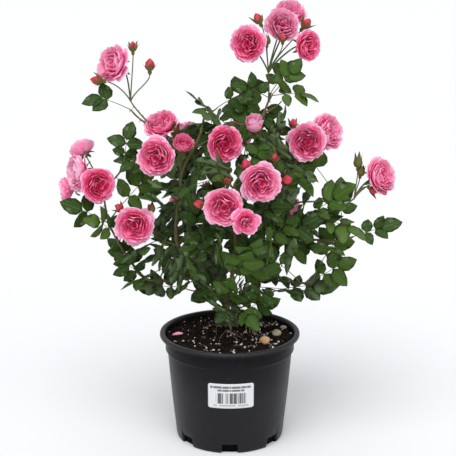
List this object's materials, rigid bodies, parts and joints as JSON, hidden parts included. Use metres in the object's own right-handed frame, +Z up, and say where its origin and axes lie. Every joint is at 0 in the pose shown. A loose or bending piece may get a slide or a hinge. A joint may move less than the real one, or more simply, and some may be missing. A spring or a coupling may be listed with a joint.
{
  "type": "potted rose bush",
  "caption": "Bushy shrub rose with leafy canes and trusses of pink many-petalled rosette flowers, growing in a round black nursery pot.",
  "frame": {"origin": "centre of the pot's flat underside", "axes": "+Z up along the pot's axis, -Y towards the front with the label, +X to the right seen from the front"},
  "size_m": [0.6659, 0.3774, 0.8629],
  "materials": {
    "pot": "black moulded plastic, slightly shiny, scuffed at the lip",
    "soil": "dark composted bark potting mix with white grains, loose and matt",
    "label": "off-white sticker with plain grey bars",
    "bark": "rough brown bark",
    "cane": "smooth green to reddish cane with prickles",
    "foliage": "mid to dark green leaves, slightly glossy, paler beneath",
    "blossom": "soft matt petals, deep pink hearts and paler edges"
  },
  "bodies": {
    "root": {"bloom_top_left": "blossom", "bloom_top_middle": "blossom", "bloom_top_right": "blossom", "bloom_upper_left": "blossom", "bough_far_left": "cane", "bough_far_right": "cane", "bough_top_bloom": "cane", "bough_top_left": "cane", "bough_top_middle": "cane", "bough_top_right": "cane", "cane_back": "cane", "cane_back_right": "cane", "cane_front_left": "cane", "cane_front_right": "cane", "cane_left": "cane", "cane_right": "cane", "foliage_crown_back": "foliage", "foliage_crown_left": "foliage", "foliage_crown_right": "foliage", "foliage_drooping_left": "foliage", "foliage_drooping_right": "foliage", "foliage_far_left": "foliage", "foliage_far_right": "foliage", "foliage_lower_back": "foliage", "foliage_lower_front": "foliage", "foliage_lower_left": "foliage", "foliage_lower_right": "foliage", "foliage_middle_back_left": "foliage", "foliage_middle_back_right": "foliage", "foliage_middle_front": "foliage", "foliage_middle_left": "foliage", "foliage_middle_right": "foliage", "foliage_side_left": "foliage", "foliage_side_right": "foliage", "foliage_skirt": "foliage", "foliage_top_left": "foliage", "foliage_top_middle": "foliage", "foliage_top_right": "foliage", "foliage_upper_back_left": "foliage", "foliage_upper_back_right": "foliage", "foliage_upper_front": "foliage", "foliage_upper_left": "foliage", "foliage_upper_right": "foliage", "label": "label", "pot": "pot", "soil": "soil", "stem_foot": "bark", "truss_far_left": "blossom", "truss_far_right": "blossom", "truss_top_left": "blossom", "truss_upper_right": "blossom"}
  },
  "joints": []
}
